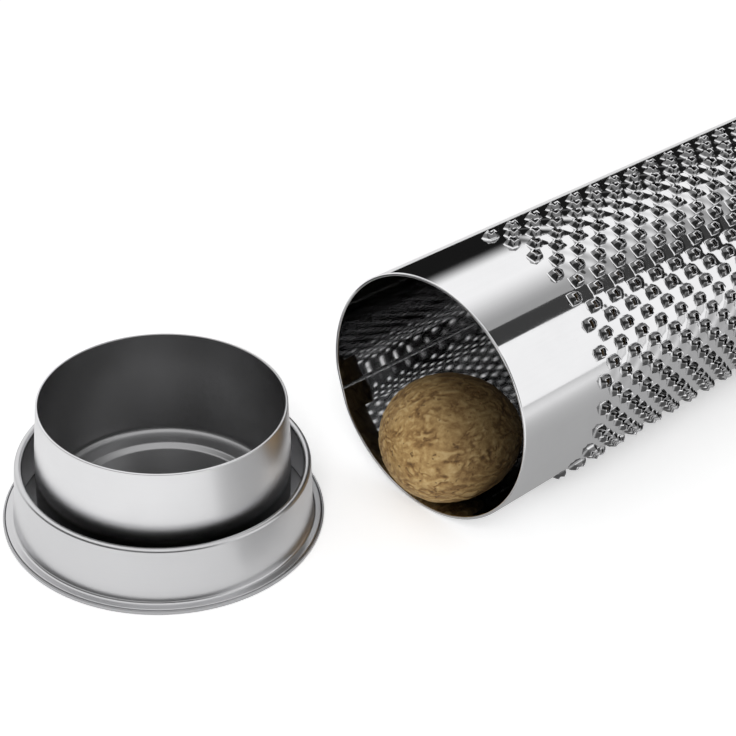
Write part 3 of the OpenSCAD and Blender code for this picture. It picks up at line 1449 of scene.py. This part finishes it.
@dataclass
class Studio:
    """Pale floor, even light, reflection cards and the camera."""

    lid_centre: Vector
    tube_centre: Vector
    floor_size: float = 4000.0
    floor_tone: float = 0.93
    floor_roughness: float = 0.9
    floor_lift: float = 0.32
    sky: float = 0.62
    image_width: float = 736.0
    focal_pixels: float = 1617.92
    sensor: float = 36.0
    clip_start: float = 0.01
    clip_end: float = 20.0
    camera_right: float = 28.65
    camera_ahead: float = -187.9
    camera_up: float = 149.07
    heading: Point = (0.7178, 0.6963)
    elevation: float = 33.05
    roll: float = 3.37
    lamps: tuple[Lamp, ...] = (
        Lamp("key_lamp", place=(-520, -420, 560), aim=(-20, 0, 15), size=420, watts=3.2),
    )
    cards: tuple[Card, ...] = (
        Card("card_behind", (420, 140, 75), (0, -1, 0), (1, 0, 0), 660, 190, 0.01, soft_edges=(0.0, 0.45)),
        Card("card_overhead", (530, 0, 400), (0, 0, -1), (1, 0, 0), 800, 270, 0.02, 0.66, (0.9, 0.0)),
        Card("card_strip", (530, -202, 400), (0, 0, -1), (1, 0, 0), 800, 134, 0.05),
        Card("card_far_end", (560, 20, 190), (-1, 0, 0), (0, 1, 0), 760, 420, 0.02),
        Card("card_left", (-480, 0, 260), (1, 0, 0), (0, 1, 0), 1500, 600, 0.12, soft_edges=(0.2, 0.2)),
        Card("card_front", (-270, -480, 260), (0, 1, 0), (1, 0, 0), 480, 600, 0.04, soft_edges=(0.2, 0.2)),
        # Painted shade: a dark card on the floor in front of the tube, seen only in reflections.
        Card("card_table", (320, -92, -18.9), (0, 0, 1), (1, 0, 0), 700, 184, 0.32, 0.8, (0.8, 0.05)),
        # Painted light: a bright card on the floor in front of the lid, seen only in reflections.
        Card("card_bright", (-210, -90, -18.8), (0, 0, 1), (0, 1, 0), 300, 400, 1.0, 0.9, (0.14, 0.1)),
    )

    def floor(self) -> None:
        """The pale floor, which keeps the object's shadow."""
        half = self.floor_size / 2
        shell = Shell()
        shell.grid([[Vector((x, y, 0)) for x in (-half, half)] for y in (-half, half)], closed=False)
        floor = shell.finish("floor", ALL_SMOOTH)
        material = bpy.data.materials.new("pale_floor")
        material.use_nodes = True
        graph = Graph(material.node_tree)
        seen = graph.add("ShaderNodeLightPath")["Is Camera Ray"]
        values = {
            "Base Color": (self.floor_tone,) * 3,
            "Roughness": self.floor_roughness,
            "Specular IOR Level": 0.0,
            "Emission Color": WHITE,
            "Emission Strength": seen * self.floor_lift,
        }
        for name, value in values.items():
            feed(graph.tree, value, material.node_tree.nodes["Principled BSDF"].inputs[name])
        floor.data.materials.append(material)

    def world(self) -> None:
        """White wherever it is seen, dimmer where it only lights."""
        world = bpy.data.worlds.new("studio")
        world.use_nodes = True
        bpy.context.scene.world = world
        graph = Graph(world.node_tree)
        path = graph.add("ShaderNodeLightPath")
        seen = path["Is Camera Ray"].at_least(path["Is Glossy Ray"]).at_least(path["Is Transmission Ray"])
        background = world.node_tree.nodes["Background"].inputs
        feed(graph.tree, WHITE, background["Color"])
        feed(graph.tree, seen * (1.0 - self.sky) + self.sky, background["Strength"])

    def camera(self) -> None:
        """The camera, at the photograph's place and angle."""
        data = bpy.data.cameras.new("camera")
        data.sensor_width = self.sensor
        data.lens = self.focal_pixels / self.image_width * self.sensor
        data.clip_start, data.clip_end = self.clip_start, self.clip_end
        camera = bpy.data.objects.new("camera", data)
        bpy.context.scene.collection.objects.link(camera)
        bpy.context.scene.camera = camera
        ahead = Vector((*self.heading, 0.0)).normalized()
        right = Vector((ahead.y, -ahead.x, 0.0))
        tilt, roll = math.radians(self.elevation), math.radians(self.roll)
        view = ahead * math.cos(tilt) - Vector((0, 0, math.sin(tilt)))
        up = ahead * math.sin(tilt) + Vector((0, 0, math.cos(tilt)))
        side = right * math.cos(roll) + up * math.sin(roll)
        top = up * math.cos(roll) - right * math.sin(roll)
        camera.rotation_mode = "QUATERNION"
        camera.rotation_quaternion = Matrix((side, top, -view)).transposed().to_quaternion()
        shift = right * self.camera_right + ahead * self.camera_ahead + Vector((0, 0, self.camera_up))
        camera.location = (self.lid_centre + shift) * MM

    def build(self) -> None:
        """Builds the studio."""
        bpy.context.scene.view_settings.view_transform = "Standard"
        self.camera()
        self.world()
        self.floor()
        for lamp in self.lamps:
            lamp.build()
        for card in self.cards:
            card.build(self.tube_centre)
        log.info("studio: %d lamps and %d cards", len(self.lamps), len(self.cards))


@dataclass(frozen=True)
class Layout:
    """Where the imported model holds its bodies, in millimetres."""

    tube_mouth: Vector
    tube_end: Vector
    lid: Vector
    nutmeg: Vector

    @classmethod
    def from_frame(cls, tube_radius: float, inside: float, forward: float) -> "Layout":
        """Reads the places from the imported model.

        Args:
            tube_radius: Radius of the tube, which lies on the floor.
            inside: How far the nutmeg's middle lies inside the mouth.
            forward: How far it lies in front of the tube's axis.

        Returns:
            The layout.
        """
        low, high = (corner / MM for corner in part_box("grating_tube"))
        mouth = Vector((low.x, high.y - tube_radius, tube_radius))
        plate_low, plate_high = (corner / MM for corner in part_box("lid_base"))
        plate = (plate_low + plate_high) / 2
        kernel_low, kernel_high = (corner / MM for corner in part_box("nutmeg"))
        return cls(
            tube_mouth=mouth,
            tube_end=Vector((high.x, mouth.y, mouth.z)),
            lid=Vector((plate.x, plate.y, 0.0)),
            nutmeg=Vector((mouth.x + inside, mouth.y - forward, (kernel_low.z + kernel_high.z) / 2)),
        )


POLISHED = SteelFinish(
    name="polished_steel",
    slot="polished_steel",
    tone=(0.89, 0.89, 0.90),
    roughness=0.05,
    smudge=0.04,
    brushing=Brushing.ALONG_THE_TUBE,
    anisotropy=0.0,
    line_spacing=0.5,
    line_depth=0.0004,
    ripple_spacing=9.0,
    ripple_depth=0.01,
    # Painted shade: the tube's bore and its burrs turn darker.
    bore_radius=18.8,
    bore_tone=0.78,
    wall_radius=19.0,
    burr_tone=0.19,
    burr_roughness=0.03,
)
SATIN = SteelFinish(
    name="satin_steel",
    slot="satin_steel",
    tone=(0.74, 0.74, 0.75),
    roughness=0.28,
    smudge=0.03,
    brushing=Brushing.ROUND_THE_LID,
    anisotropy=0.5,
    line_spacing=0.16,
    line_depth=0.002,
    ripple_spacing=12.0,
    ripple_depth=0.01,
)
SATIN_CUP = replace(
    SATIN,
    name="satin_steel_cup",
    tone=(0.80, 0.80, 0.81),
    # Painted shade: the cup's inside and the groove round it turn darker.
    bore_radius=18.2,
    bore_tone=0.5,
    bore_roughness=0.02,
    drawn_from=10.5,
    drawn_slope=0.078,
    gap_inside=18.2,
    gap_radius=20.9,
    gap_height=9.2,
)
# Painted shade: the skirt is a darker copy of the satin steel.
SATIN_SKIRT_SHADED = replace(
    SATIN,
    name="satin_steel_skirt_shaded",
    tone=(0.66, 0.66, 0.67),
    gap_radius=20.9,
    gap_height=9.2,
)
# Painted shade: the base plate is a darker copy of the satin steel, which darkens its hem.
SATIN_BASE_SHADED = replace(SATIN, name="satin_steel_base_shaded", tone=(0.48, 0.48, 0.49))
SHELL = NutmegShell(
    name="nutmeg_shell",
    slot="nutmeg_shell",
    groove=(0.085, 0.042, 0.014),
    ground=(0.28, 0.158, 0.054),
    vein=(0.46, 0.30, 0.118),
    pale=(0.66, 0.48, 0.23),
    roughness=0.55,
    pit_spacing=0.7,
    pit_depth=0.06,
    flank_tone=0.2,
    flank_from=-12.0,
    flank_full=7.0,
)


def main() -> None:
    """Builds the grater's pieces in order, then the studio."""
    logging.basicConfig(level=logging.INFO, format="%(message)s")
    layout = Layout.from_frame(tube_radius=19.0, inside=4.9, forward=1.3)
    Tube(layout.tube_mouth, POLISHED, Teeth()).build()
    EndCap(layout.tube_end, POLISHED).build()
    Lid(layout.lid, SATIN_BASE_SHADED, SATIN_SKIRT_SHADED, SATIN_CUP).build()
    Nutmeg(layout.nutmeg, SHELL).build()
    Studio(layout.lid, layout.tube_mouth).build()


if __name__ == "__main__":
    main()
